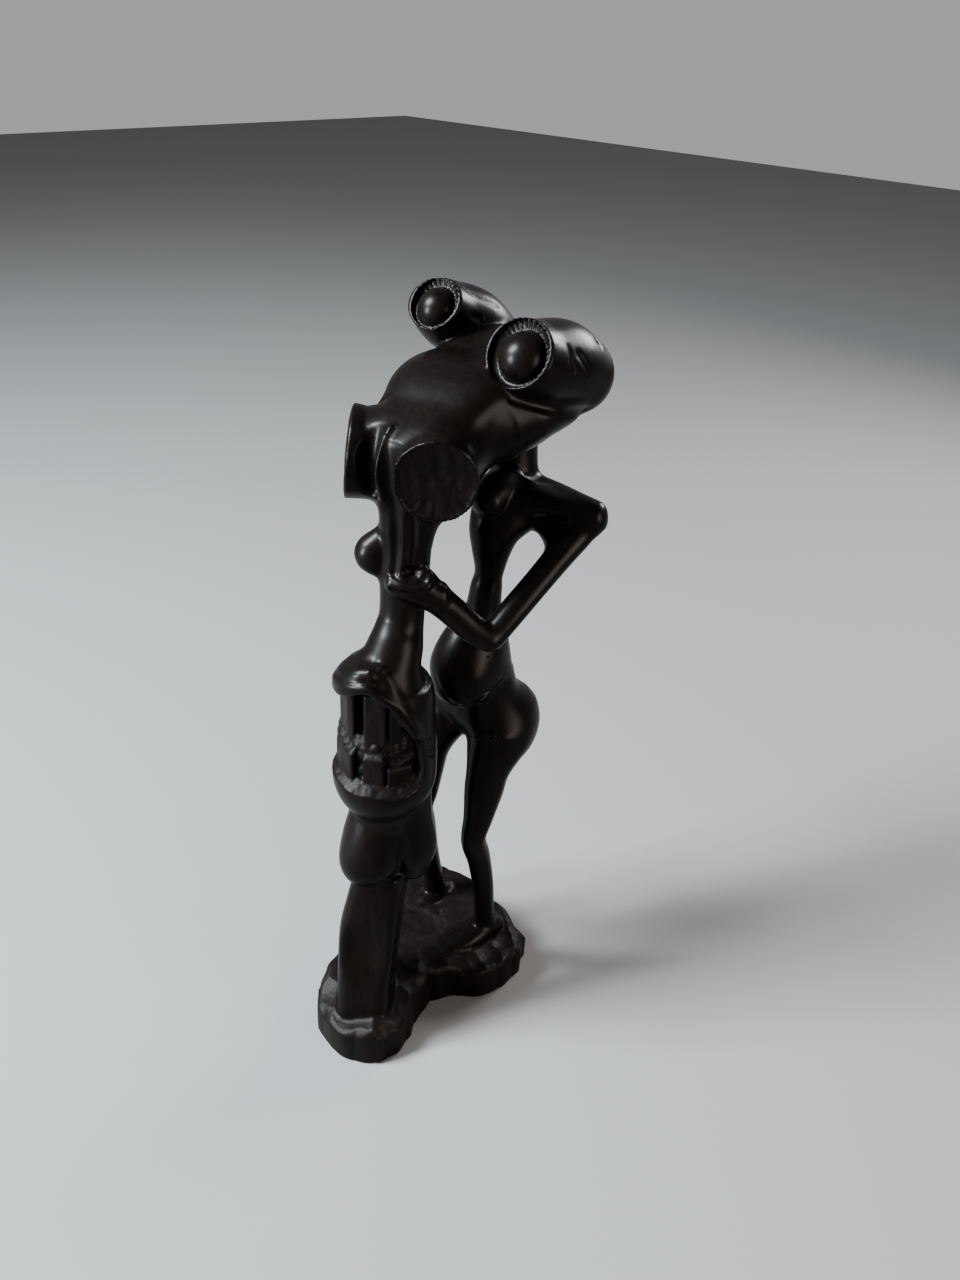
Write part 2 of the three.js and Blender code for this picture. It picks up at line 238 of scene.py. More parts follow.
def base_top(x, y):
    """Height of the base's top: flat, falling to a worn rim in front and on the left, humped at the back."""
    front = smooth(-y, 36, 56)
    near = smooth(x, 6, 24)
    hump = smooth(y, 22, 42) * smooth(-x, -6, 14)
    corner = smooth(x + y, 54, 72)
    return BASE_THICK - BASE_FALL * np.maximum(front, near) + BASE_HUMP * hump - CORNER_FALL * corner


def base():
    """The outline's depth leaning in towards the top, met by the uneven top and the flat underside. Gouge
    marks lie on the top, and run as flutes down the sides."""
    where, (x, y, z) = window((LOW[0], LOW[1], -3), (HIGH[0], HIGH[1], BASE_THICK + 7))
    side = outline_distance(np.array(BASE_OUTLINE, float), x[:, :, 0], y[:, :, 0])[:, :, None]
    marks = scoops(x[:, :, 0], y[:, :, 0], spacing=9.0, bend=16.0, seed=3)[:, :, None]
    top = z - (base_top(x, y) + 0.8 * np.minimum(marks, 1.5) - 0.2)
    flutes = scoops(x[:, :, 0], y[:, :, 0], spacing=7.0, bend=8.0, seed=5)[:, :, None]
    wall = side + 0.03 * np.maximum(z - 8, 0) + 0.5 * np.minimum(flutes, 1.6)
    depth = soft_max(wall, top, 3.0)
    return where, soft_max(depth, -z, 1.2).astype(np.float32)


def rim_facets():
    """A ball set outside and above the upper edge cuts each facet to its depth."""
    for x, y, out_x, out_y, radius, deep in RIM_FACETS:
        away = (radius - deep) * 0.7
        height = float(base_top(x, y)) + away
        carve(lump(x + out_x * away, y + out_y * away, height, radius), 0.6, rough=True)


# The pillar: its squared foot, with its faces along this direction and across it, the egg and the lobe
# under the mouth, and the mouth's block with the stem above
FOOT_TURN = (0.82, 0.57, 0.0)
PILLAR_FOOT = [
    (2.5, -38, 8, 12, 11.5), (1.8, -37, 24, 11, 11.2), (0.5, -34.5, 40, 11.4, 12), (-0.3, -32, 55, 11.8, 11.8),
    (0, -29.5, 68, 11, 11.2), (0, -27, 82, 9.5, 10),
]
PILLAR_CORE = [(0, -26, 70, 9), (0, -23, 84, 10), (0, -22.5, 100, 11.5), (0, -24, 116, 13)]
EGG = [
    (-1.4, -29.8, 80.6, 10, 10.2), (-2, -30.4, 86, 12.2, 12.6), (-2, -29.2, 94, 12.5, 12.4),
    (-1.8, -27, 103, 12.1, 11.6), (-1.4, -25, 112, 11, 10),
]
NEAR_LOBE = [(9, -18, 82, 6, 7), (10, -18, 92, 7.5, 9), (8.5, -19, 106, 7.5, 8.5), (8, -20, 119, 8, 9)]
MOUTH_BLOCK = [
    (0, -24, 106, 12), (0, -24.5, 113, 13.4), (0, -25, 118.8, 17, 17.2), (0, -25.2, 124, 19),
    (0, -25.2, 130, 19.5), (0, -25, 138, 19.2, 19.4), (0, -24.7, 150, 18.2, 18.6), (0.2, -25.2, 162, 17.8, 18),
    (0.7, -25.3, 169, 15.8, 16), (1.4, -24.6, 173, 13, 13.2), (1.8, -23.2, 177, 10.6, 10.8),
    (1.6, -21.2, 181.5, 9.7, 9.9), (0.9, -19.1, 186, 8.6, 8.9), (0.6, -17.6, 191, 8), (0.2, -16.6, 199, 8.1),
    (0, -16, 208, 8.8), (0, -15.5, 216, 9, 8.8), (0, -15, 226, 9.6, 9.2), (0, -13, 238, 12, 11),
]


def pillar():
    """The squared foot with one side hollowed out, the core above it, and the egg and the lobes about the
    core."""
    join(limb(PILLAR_FOOT, across=FOOT_TURN, square=4.0), 2.5)
    carve(lump(21.5, -61.5, 56, 27, 27, 34), 2.0)
    join(limb(PILLAR_CORE), 2)
    join(limb(EGG, start=0.3, end=0.6), 0.8)
    join(limb(NEAR_LOBE, start=0.9), 1.0)
    join(lump(-9, -17, 98, 8, 9, 13), 1.5)


def mouth_block():
    """The round block that the mouth is cut into, and the stem that runs on up into the nose."""
    join(limb(MOUTH_BLOCK), 1.5)


# The mouth: angles are in degrees round the pillar's middle line, from the front towards the figure's left
MOUTH = (0.0, -25.0)
MOUTH_ROOM = ((-26, -52, 122), (26, -14, 178))
MOUTH_ENDS = (-80.0, 94.0)
MOUTH_BACK = 11.5
BLOCK_RADIUS = 18.8
# Angle and height of the rim of the lower gum, and of the upper lip's edge
JAW_RIM = np.array([(-80, 131.4), (-45, 131), (10, 129.4), (60, 128.2), (92, 130.4)])
LIP_EDGE = curve_through(
    [(-95, 149), (-80, 154), (-60, 161), (-40, 164.4), (-15, 166.4), (0, 168.6), (13, 170.4), (28, 171.2),
     (46, 168), (57, 164.7), (70, 160.5), (84, 154.2), (95, 149.5)], 6)
TOOTH_FACE = 15.55
# First and last angle and bottom of each upper tooth; the same and top of each lower one, and how far it
# stands out
UPPER_TEETH = [(-78, -57, 148), (-52, 2, 150), (17, 47, 149), (51, 68, 149.2)]
LOWER_TEETH = [(-78, -47, 141, 1.8), (-42, 1.5, 142.7, 0.8), (15, 44.5, 142.2, 0), (49, 86, 138.2, 0)]
ROOTS_TOP = 169
ROOTS_BOTTOM = 126
SHELF_TOP = 149.5
# Angle and radius of the front of the shelf behind the lower teeth
SHELF_FRONT = np.array([(-60, 18.2), (-35, 17), (-10, 15.2), (15, 13.9)])
# Angle and half thickness of the swell above the lip, its distance out, and its height above the lip's edge
LIP_SWELL = [(-75, 3), (-50, 3.8), (-20, 3.8), (5, 3.2), (25, 2.4)]
SWELL_OUT = 13.4
SWELL_ABOVE = 5.6
# Angle, half height and distance out of the bead along the lip's edge
BEAD_TALL = np.array([(-80, 1.6), (-45, 3.4), (-10, 3.0), (20, 1.8), (60, 1.4), (94, 0.9)])
BEAD_OUT = np.array([(-80, 14.6), (-45, 15.6), (-10, 15.3), (20, 14.8), (94, 14.8)])
BEAD_THICK = 3.3
# Angle, distance out and height of the cheek's fold, and places of the wrinkles below it
CHEEK_FOLD = [(40, 11.6, 178), (54, 14, 171), (68, 16.6, 163), (82, 18.2, 153)]
WRINKLES = [
    ((19.6, -27, 153.4), (17.8, -19.8, 147.5)), ((19, -25, 150), (17.4, -17.8, 144.2)),
    ((18.7, -24.4, 147), (17.2, -16.8, 141.3)), ((18.8, -24.6, 144.4), (17.6, -17.4, 139)),
]


def round_mouth(x, y):
    """Angle round the pillar's middle line from the front, in degrees, and distance from that line."""
    aside, ahead = x - MOUTH[0], y - MOUTH[1]
    return np.degrees(np.arctan2(aside, -ahead)), np.hypot(aside, ahead)


def by_mouth(degrees, far, height):
    """The place at an angle round the pillar's middle line, a distance from it and a height."""
    angle = math.radians(degrees)
    return MOUTH[0] + far * math.sin(angle), MOUTH[1] - far * math.cos(angle), height


def mouth_hollow():
    """The hollow's depth is the greatest of those from its roof, floor, back and two ends: the roof follows
    the lip, the floor rises inwards and is chopped rough, and the ends are arcs of the angle times the
    distance."""
    where, (x, y, z) = window(*MOUTH_ROOM)
    angle, far = round_mouth(x, y)
    roof = z - (np.interp(angle, *LIP_EDGE.T) - 0.9 * np.maximum(14.5 - far, 0))
    chopped = np.minimum(scoops(x + 0 * y, y + 0 * x, spacing=1.8, bend=1.2, seed=13), 1)
    floor = np.interp(angle, *JAW_RIM.T) + 0.85 * np.clip(BLOCK_RADIUS - far, -3, 3.4) - 0.35 * chopped - z
    ends = np.maximum(angle - MOUTH_ENDS[1], MOUTH_ENDS[0] - angle) * np.radians(1) * far
    depth = soft_max(roof, ends, 6.0)
    depth = soft_max(depth, floor, 7.0)
    return where, np.maximum(depth, MOUTH_BACK - far + 0 * z).astype(np.float32)


def tooth(start, stop, bottom, top, rise=0.0, tip=0.0, out=0.0):
    """A block in the ring between the hollow's back and the tooth faces: the greatest of the depths from
    its faces. Inwards from its face, rise lifts its top and tip lifts its bottom."""
    where, (x, y, z) = window(*MOUTH_ROOM)
    angle, far = round_mouth(x, y)
    middle, half = (start + stop) / 2, (stop - start) / 2
    side = (np.abs(angle - middle) - half) * np.radians(1) * far
    face = far * np.cos(np.radians(np.clip(angle - middle, -15, 15))) - (TOOTH_FACE + out)
    inward = np.maximum(-face, 0)
    ends = np.maximum(z - (top + rise * inward), bottom + tip * inward - z)
    depth = soft_max(side, face, 0.9)
    return where, soft_max(depth, ends, 0.7).astype(np.float32)


def teeth():
    """Square teeth above and below, and behind the lower ones a rough shelf that rises to the upper ones."""
    for start, stop, bottom in UPPER_TEETH:
        join(tooth(start, stop, bottom, ROOTS_TOP, tip=0.3), 0.5, rough=True)
    for start, stop, top, out in LOWER_TEETH:
        join(tooth(start, stop, ROOTS_BOTTOM, top, rise=0.8, out=out), 0.5, rough=True)
    where, (x, y, z) = window(*MOUTH_ROOM)
    angle, far = round_mouth(x, y)
    chopped = np.minimum(scoops(angle * 0.24 + 0 * z, z + 0 * angle, spacing=3.0, bend=2.6, seed=7), 1.4)
    shelf = far - np.interp(angle, *SHELF_FRONT.T) + 0.8 * chopped + 0.45 * np.maximum(z - 145, 0)
    join((where, np.maximum(shelf, z - SHELF_TOP).astype(np.float32)), 0.6, rough=True)


def upper_lip():
    """A squared bead along the edge of the lip, taller on the figure's right, where it overhangs, with the
    flare filled out behind it and a fold of the cheek above its other end."""
    swell = []
    for degrees, size in LIP_SWELL:
        height = np.interp(degrees, *LIP_EDGE.T) + SWELL_ABOVE
        swell.append((*by_mouth(degrees, SWELL_OUT, height), size))
    join(limb(swell, start=0.8, end=0.8), 4.0)
    cuts = []
    for degrees in np.linspace(-78, 94, 13):
        tall = np.interp(degrees, *BEAD_TALL.T)
        height = np.interp(degrees, *LIP_EDGE.T) + tall - 0.5
        cuts.append((*by_mouth(degrees, np.interp(degrees, *BEAD_OUT.T), height), tall, BEAD_THICK))
    join(limb(cuts, across=ALONG_Z, start=0.9, end=0.9, square=3.6), 1.6)
    join(limb([(*by_mouth(*row), 1.5) for row in CHEEK_FOLD], start=0.9, end=0.9), 3.0)


def scratch(points, size, soft=1.2):
    """A short groove through points on the surface."""
    carve(limb([(*point, size) for point in points], start=0.9, end=0.9, per=3, reach=3), soft)


def wrinkles():
    """Fine parallel folds of the cheek beside the mouth, each bent out a little in its middle."""
    for (x, y, z), (further_x, further_y, further_z) in WRINKLES:
        between = ((x + further_x) / 2 + 0.3, (y + further_y) / 2, (z + further_z) / 2)
        scratch([(x, y, z), between, (further_x, further_y, further_z)], 0.75, 0.6)


def dinted(middle, reach, spacing, bend, deep, seed):
    """Small gouge marks pressed into the surface about a point, fading out with the distance from it."""
    middle = np.array(middle, float)
    where, (x, y, z) = window(middle - reach, middle + reach)
    away = np.sqrt((x - middle[0]) ** 2 + (y - middle[1]) ** 2 + (z - middle[2]) ** 2) / reach
    marks = np.minimum(scoops(x, z, spacing, bend, seed), 0.8) * deep * (1 - smooth(away, 0.35, 1))
    for depths in (block, finished):
        depths[where] += marks.astype(np.float32)


# The figure's legs, from the hip down
LEGS = {
    LEFT: [
        (6, 26, 151, 7.6, 9.6), (7.8, 26.9, 142, 9.6, 11.5), (11.4, 31, 127.6, 12.2, 18.2),
        (11.4, 25.8, 118, 11.6, 13.8), (12.2, 21.2, 109, 8.6, 10.6), (12.8, 18.5, 100, 7.6, 9.6),
        (13.3, 15.5, 89, 6, 7.4), (13.5, 12.8, 79, 4.9, 6), (13, 17.5, 66, 4.6, 5.6), (13, 21.5, 48, 4.4, 5.2),
        (12.5, 24, 31, 4.2, 5), (12, 25, 18, 5, 6),
    ],
    RIGHT: [
        (-6, 26, 150, 7, 9), (-9.5, 29, 138, 11, 15), (-11.4, 28.4, 128, 11, 14.6), (-14, 21.2, 118, 9, 10.8),
        (-15.8, 18, 108, 7.2, 8.4), (-15.6, 16, 98, 6.2, 7), (-15.4, 14.2, 88, 5.3, 6.1),
        (-16, 12.2, 79, 4.8, 6), (-18.2, 17, 66, 4.6, 5.6), (-19.6, 21.2, 48, 4.4, 5.2),
        (-18.5, 24, 31, 4.2, 5), (-18, 25, 18, 5, 6),
    ],
}
# The feet, from the heel forward
FEET = {
    LEFT: [
        (12.5, 31, 18.5, 4.5, 5), (12.2, 24, 19.5, 5.8, 6), (10.2, 14.5, 19, 6.3, 4.8),
        (6.6, 6.5, 18, 5.4, 3.8), (4, 2, 17, 4, 2.8),
    ],
    RIGHT: [
        (-18, 31, 19, 4.5, 5), (-18, 25, 19.6, 5.5, 6), (-18, 18, 19.6, 5.4, 5), (-18.5, 12, 18.6, 4.4, 3.6),
    ],
}
# The body: the trunk up to the waist, the thin chest above it, whose width runs forward and a little to the
# left, the belly in front and its fuller left side
TRUNK = [
    (1.5, 30, 125, 11, 10), (2, 27, 134, 15, 13), (3, 24.6, 144, 13.8, 11.6), (4.2, 22.2, 158, 12, 11.4),
    (5.6, 21, 170, 9, 9.8), (5.6, 20.6, 180, 6.1, 6.5), (6.2, 21, 190, 5, 5),
]
CHEST_TURN = (0.46, -0.89, 0.0)
CHEST = [
    (5.4, 20.6, 172, 5.4, 5), (5.6, 20.8, 180, 5.4, 5), (6.2, 21, 190, 5.1, 4.9), (6.7, 21.8, 198, 5.6, 5.6),
    (6.6, 22.4, 206, 7, 7.6), (6.4, 24.2, 213, 8.6, 10), (7, 29.4, 221, 9.4, 12.8), (7, 36, 229, 8, 11),
]
BELLY = [(5, 20, 180, 5), (4, 15, 170, 9.8, 9.5), (4, 12.2, 160, 12.8, 12), (4.6, 12, 152, 12.2, 11.5)]
BELLY_SIDE = [(6, 20, 176, 6), (7, 17.5, 166, 9.5, 10), (7.2, 18, 156, 9.6, 11)]
HIP_CREASE = [
    (0.8, -0.8, 158, 0.6), (5.6, -0.6, 151.4, 0.8), (11.2, 3.4, 146.6, 1), (15.2, 9.2, 150.6, 0.9),
    (17, 15, 153, 0.8), (17.6, 20, 155.4, 0.5),
]
# The shoulders: the bar from the right one's stump to the left, the wedge before it, the web under the arm,
# the neck and the breast
SHOULDER_BAR = [
    (-12, 38, 219, 5, 5.5), (0, 40, 223, 7, 7), (15, 42, 222, 7.6, 6), (27, 44, 220.6, 7, 5.4),
    (36, 45.4, 220.8, 4.8, 4.2),
]
SHOULDER_WEDGE = [
    (12, 31, 224.5, 5, 6), (20, 34.5, 224.5, 4.6, 6), (28, 39.5, 223.2, 4.2, 5.4), (34.5, 44, 221.4, 3.8, 4),
]
ARM_WEB = [(10, 40, 217, 5), (19, 38.6, 214, 4.6), (26, 36.4, 209.6, 4.4)]
NECK = [(4, 39, 221, 9, 8), (3.4, 38.4, 234, 6.8, 8), (1, 38, 250, 8, 10)]
BREAST = [(6, 33, 228, 7.4), (5.8, 25, 227.4, 7.2), (6, 20, 225.4, 6.6)]
# The bent left arm, whose width runs forward, to the left and upwards
ARM_TURN = (0.557, -0.663, 0.5)
UPPER_ARM = [
    (34, 45, 219.6, 3.8, 4.4), (31.4, 40, 214.6, 5.4, 6), (30.3, 32, 208, 5.2, 5.3), (29.4, 21.9, 201, 4.8, 5),
    (27.6, 10.8, 192.4, 4.6, 5), (25.2, 1.8, 184, 4.7, 5),
]
FOREARM = [
    (25.4, 1, 184, 4.6, 4.8), (20.6, -3.5, 188.5, 4.4, 5.2), (15.5, -8, 194.8, 4.4, 5.3),
    (11, -12, 199.8, 4.6, 5.2),
]
# The hand round the stem: its palm and back, the thumb, a ridge of fingers and the groove under it
PALM = [
    (13, -12, 200.6, 5.2, 4.2), (10, -16.8, 202.4, 4.9, 4), (6.6, -21.4, 204.2, 3.4, 3),
    (2.6, -24.6, 206, 2.2, 2),
]
HAND_BACK = [(11, -14.6, 204.4, 3), (8.6, -18.4, 206.8, 2.6), (5.2, -21.6, 208, 2)]
THUMB = [(8.6, -16, 209.8, 2.6), (9.9, -14.6, 207.6, 3), (10.9, -12, 203, 3.4), (13.5, -9.6, 198.6, 3.6)]
FINGERS = [
    (2.2, -24.8, 208, 0.9), (6.2, -24, 206.9, 1.3), (10.4, -20.8, 206, 1.5), (12.6, -17.4, 206.8, 1.5),
    (11.4, -15.2, 209.8, 1.2),
]
FINGER_GROOVE = [(3.4, -26, 204.6, 0.5), (8, -24.5, 203.8, 0.9), (11, -22.2, 203, 0.9), (14.6, -17.8, 202, 0.5)]
KNOB = [
    (-1, -16, 225, 3.4), (-6, -20.8, 218, 5.2), (-8.2, -22.8, 213, 6.4), (-4.6, -19.8, 207.6, 4.5),
    (-1, -17, 202, 4),
]


def leg(side):
    join(limb(LEGS[side], square=1.75), 4.5)


def foot(side):
    join(limb(FEET[side], square=2.3, start=0.8, end=0.9), 1.0)


def torso():
    """Trunk, chest and belly, each an oval section along a bent line, run well into each other."""
    join(limb(TRUNK, square=2.2, start=0.7, end=0.8), 3.0)
    join(limb(CHEST, across=CHEST_TURN, square=2.0, start=0.9), 4.0)
    join(limb(BELLY, start=0.7, end=0.8), 2.5)
    join(limb(BELLY_SIDE, start=0.7, end=0.7), 3.0)


def hip_crease():
    """A V-shaped groove under the belly, from its right side down to the groin and up over the near hip."""
    carve(limb(HIP_CREASE, start=0.9, end=0.9), 1.4)


def shoulders():
    """The bar of the shoulders and the forms that run out of it."""
    join(limb(SHOULDER_BAR, across=ALONG_Z, square=2.2, start=0.7, end=0.6), 4.0)
    join(limb(SHOULDER_WEDGE, across=ALONG_Z, start=0.8, end=0.8), 4.0)
    join(limb(ARM_WEB, start=0.8, end=0.8), 4.0)
    join(limb(NECK), 3.0)
    join(limb(BREAST, end=0.95), 1.2)


def arm():
    """The upper arm, and the forearm that meets it in a sharp elbow."""
    join(limb(UPPER_ARM, across=ARM_TURN, square=2.0, start=0.7, end=0.9), 5.0)
    join(limb(FOREARM, across=ARM_TURN, start=0.9, square=2.1), 0.8)


def hand():
    """The hand that grips the stem, with a hollow left by the gouge between its thumb and fingers."""
    join(limb(PALM, across=ALONG_Z, start=0.7, end=0.9), 2.5)
    join(limb(HAND_BACK, start=0.8, end=0.9), 1.5)
    join(limb(THUMB, start=0.7), 1.5)
    carve(lump(8.4, -21, 211, 3, 3, 2.2), 1.0, rough=True)
    join(limb(FINGERS, start=0.9, end=0.9), 0.8)
    carve(limb(FINGER_GROOVE, start=0.9, end=0.9), 1.2)


def knob():
    """A round knob on the far side of the stem, above the hand."""
    join(limb(KNOB, start=0.5, end=0.5), 1.5)


# The head: the skull from back to front, the brow behind the near eye, and the nose with its ridges
SKULL = [
    (0, 54, 263.5, 18, 11.5), (0, 44, 263.5, 22, 16.8), (0, 31, 262.5, 23, 19.3), (0, 19, 260, 24, 17.5),
    (-0.2, 7, 258.2, 24.2, 17.4), (2, -5, 252.8, 18.8, 14.8), (0.8, -14, 248.5, 12.6, 13.6),
    (0, -20, 246, 8, 12),
]
NEAR_BROW = [(16, 12, 258, 9), (19.4, 22, 261.6, 11.2), (21, 33, 263.4, 10.8), (20, 42, 264, 9.4)]
NOSE_ROOT = [(0.4, -15, 222, 8.2), (2, -12.6, 229, 8.9), (5, -9.6, 236, 10.2), (6, -7, 244, 12)]
SEPTUM = [
    (-0.4, -21.6, 259.5, 0.8, 1.8), (-0.3, -25, 252.5, 1.0, 2.8), (-0.2, -26.6, 245.5, 1.0, 2.8),
    (0, -25, 238, 0.9, 2.2),
]
NOSE_RIDGE = [
    (-0.6, -15.5, 257, 3.8), (-1.8, -22.6, 251.5, 3.4), (-2.6, -24.6, 242, 3), (-1.5, -21, 230, 3.4),
    (0, -19, 220, 4),
]
# Grooves down the column under the nose, beside the ridge and beside the septum, each with its softness
NOSE_GROOVES = [
    ([(3.4, -25, 237, 1.4), (3.8, -24.2, 222, 2), (3.4, -24.6, 210, 1.4)], 0.9),
    ([(8.6, -21.4, 237, 1.8), (8.4, -21, 222, 2.3), (8, -21.2, 212, 1.6)], 0.9),
    ([(-5.4, -24.6, 258, 2), (-6, -27, 248, 3), (-5.4, -25.4, 238, 2.4)], 3.0),
    ([(4.2, -27.6, 262, 1.2), (4.4, -28.8, 250, 2.4), (3.6, -27.8, 238, 1.8), (3.4, -26, 228, 1.2)], 2.0),
]
# Each nostril's barrel, the dome of its end, how far out its dish is set, and the dish's depth
NOSTRILS = [
    {"barrel": [(2, -1, 250, 12, 12), (10, -10.5, 248.4, 13.6, 13.4), (14.2, -16, 247, 14.2, 13.4),
                (18.1, -20.8, 246, 14.6, 13.8)],
     "dome": 0, "worn": 0, "deep": 1.2},
    {"barrel": [(-2, -4, 247, 15, 15), (-11, -12, 246.6, 15.6, 14.8), (-16.6, -16.8, 245.6, 15.4, 15),
                (-21, -20.8, 246, 15.9, 15.6)],
     "dome": 0.14, "worn": 1.4, "deep": 0.7},
]
DISH_RIM = 1.2
# Each eye's barrel, the radii of its ball and socket, the ball's shift, the number of lashes and the angle,
# in radians about the socket, round which they lie
EYES = [
    {"barrel": [(21.5, 12.5, 282, 11.6, 12.9), (21, 21, 278, 13.2, 13.8), (21, 34, 275, 14.2, 14.2),
                (20.5, 45, 269, 13.6, 13.6)],
     "ball": 8.6, "socket": 10.8, "set": (0.8, 0, -0.9), "lashes": 34, "upper": 2.2},
    {"barrel": [(-22, 19.5, 288.6, 9.2, 11), (-22.5, 27.5, 283.4, 11.8, 12), (-21.5, 38, 278.2, 13, 13.2),
                (-21, 47, 270.6, 12.8, 12.8)],
     "ball": 7.4, "socket": 8.8, "set": (0, 0, -1.3), "lashes": 28, "upper": 1.9},
]
SOCKET_DEEP = 3.4
BALL_DEEP = 2.7
UNDER_EYE = [
    (23.4, 8, 268.6, 0.7), (28, 15, 266, 1.3), (32.4, 23.4, 263.4, 2.2), (32.8, 32, 260.6, 2.9),
    (31, 40, 258, 2.6),
]


def head():
    """The long squared skull, the brow, the root of the nose and the thin ridges down its front."""
    join(limb(SKULL, square=3.2, start=0.6, end=0.3, per=6), 3.0)
    join(limb(NEAR_BROW, start=0.8, end=0.8), 5.0)
    join(limb(NOSE_ROOT), 3.0)
    join(limb(SEPTUM, square=1.7, start=0.9, end=0.9), 2.2)
    join(limb(NOSE_RIDGE, start=0.6, end=0.6), 2.5)


def nose_grooves():
    for cuts, soft in NOSE_GROOVES:
        carve(limb(cuts, start=0.9, end=0.9), soft)


def facing(cuts, front, behind):
    """Middle of a barrel's open end and the direction it faces."""
    middle = np.array(cuts[front][:3], float)
    way = middle - np.array(cuts[behind][:3], float)
    return middle, way / np.linalg.norm(way)


def round_place(middle, way, reach):
    """Part of the grid about a round mouth: how far along its axis, how far from it to the side and
    upwards, and the angle about it."""
    where, (x, y, z) = window(middle - reach, middle + reach)
    level = np.cross(way, ALONG_Z)
    level /= np.linalg.norm(level)
    upright = np.cross(level, way)
    x, y, z = x - middle[0], y - middle[1], z - middle[2]
    along = x * way[0] + y * way[1] + z * way[2]
    side = x * level[0] + y * level[1] + z * level[2]
    height = x * upright[0] + y * upright[1] + z * upright[2]
    return where, along, side, height, np.arctan2(height, side)


def dish(middle, way, wide, tall, deep):
    """A shallow oval dish left from the gouge: the depth from an oval cylinder's side met by that from its
    floor, which rises with the square of the distance from the middle. Cosines of the angle cut gouges into
    the lower rim and make the rim uneven, and small scoops roughen the middle."""
    where, along, side, height, angle = round_place(middle, way, max(wide, tall) + 6)
    share = np.hypot(side / wide, height / tall)
    low = smooth(-np.sin(angle), -0.2, 0.5) * smooth(share, 0.35, 0.8)
    uneven = 29 * angle + 3 * np.sin(4 * angle + 1) + 2 * np.sin(7 * angle)
    gouges = (0.18 + 0.1 * np.cos(5 * angle)) * np.cos(uneven) * low
    pits = 0.5 * np.clip(scoops(side, height, spacing=3.4, bend=4.0, seed=9), -0.5, 0.6) * (1 - 0.7 * low)
    floor = -along - deep * (1 - 0.5 * share**2) + gouges + pits
    rim = (share - 1) * wide + 0.3 * np.cos(5 * angle + 1) + 0.2 * np.cos(9 * angle)
    return where, np.maximum(np.maximum(rim, floor), along - 6).astype(np.float32)


def nostrils():
    """Two barrels under the nose with dished mouths: the near one is cut off flat, the far one's rim is
    worn round."""
    for nostril in NOSTRILS:
        join(limb(nostril["barrel"], across=ALONG_Z, start=0.8, end=nostril["dome"]), 6.0)
    for nostril in NOSTRILS:
        middle, way = facing(nostril["barrel"], -1, -2)
        tall, wide = nostril["barrel"][-1][3:]
        hollow = dish(middle + nostril["worn"] * way, way, wide - DISH_RIM, tall - DISH_RIM, nostril["deep"])
        carve(hollow, 0.8, rough=True)


def socket(middle, way, radius, deep, lashes, upper):
    """A round socket: the depth from a cylinder's side met by that from its floor, a shallow bowl. A cosine
    of the angle about its middle notches the upper part of its side with lashes."""
    where, along, side, height, angle = round_place(middle, way, radius + 6)
    away = np.hypot(side, height)
    lashed = smooth(np.cos(angle - upper), -0.3, 0.2)
    notch = (0.5 + 0.5 * np.cos(lashes * angle)) * lashed * smooth(away / radius, 0.6, 0.85)
    floor = -along - deep * (1 - 0.75 * (away / radius) ** 2) - 0.6 * notch
    return where, np.maximum(np.maximum(away - radius - 0.4 * notch, floor), along - 6).astype(np.float32)


def eyes():
    """Two barrels on the skull, each with a lashed socket in its open end and a round ball in the socket."""
    for eye in EYES:
        join(limb(eye["barrel"], across=ALONG_Z, start=0.18, end=0.95), 1.2)
    for eye in EYES:
        middle, way = facing(eye["barrel"], 0, 1)
        carve(socket(middle, way, eye["socket"], SOCKET_DEEP, eye["lashes"], eye["upper"]), 1.0)
        join(lump(*(middle - BALL_DEEP * way + eye["set"]), eye["ball"]), 0.4)


def folds():
    """Folds and chips about the eyes: an eyelid's crease, a hollow under the near eye, and small dents."""
    scratch([(33.2, 23.3, 285), (34.9, 23.2, 280.4), (35.2, 24.6, 276.4)], 0.45, 1.6)
    scratch([(34.2, 27.4, 282), (35.2, 30, 278.6), (35.9, 32.4, 275.6)], 0.5, 2.0)
    scratch([(30.3, 42.1, 283), (31, 43.6, 281.4)], 0.9)
    carve(limb(UNDER_EYE, start=0.9, end=0.9), 1.4)
    scratch([(-16.5, 26.9, 294.9), (-12.8, 31.4, 290.8), (-11.2, 40, 287)], 0.5, 1.6)
    scratch([(-10, 26.5, 285.3), (-9.8, 30, 284)], 0.9, 1.4)


mouth_block()
carve(mouth_hollow(), 0.6, rough=True)
teeth()
upper_lip()
pillar()
torso()
shoulders()
for side in (LEFT, RIGHT):
    leg(side)
hip_crease()
arm()
head()
nostrils()
eyes()
folds()
nose_grooves()
knob()
hand()
wrinkles()
dinted((7, -35.5, 178), reach=7, spacing=2.6, bend=2.4, deep=0.45, seed=21)
for side in (LEFT, RIGHT):
    foot(side)
join(base(), 1.6, rough=True)
rim_facets()


# The surface of the block
TRIANGLES = 190000
CORNERS = [(i, j, k) for i in (0, 1) for j in (0, 1) for k in (0, 1)]


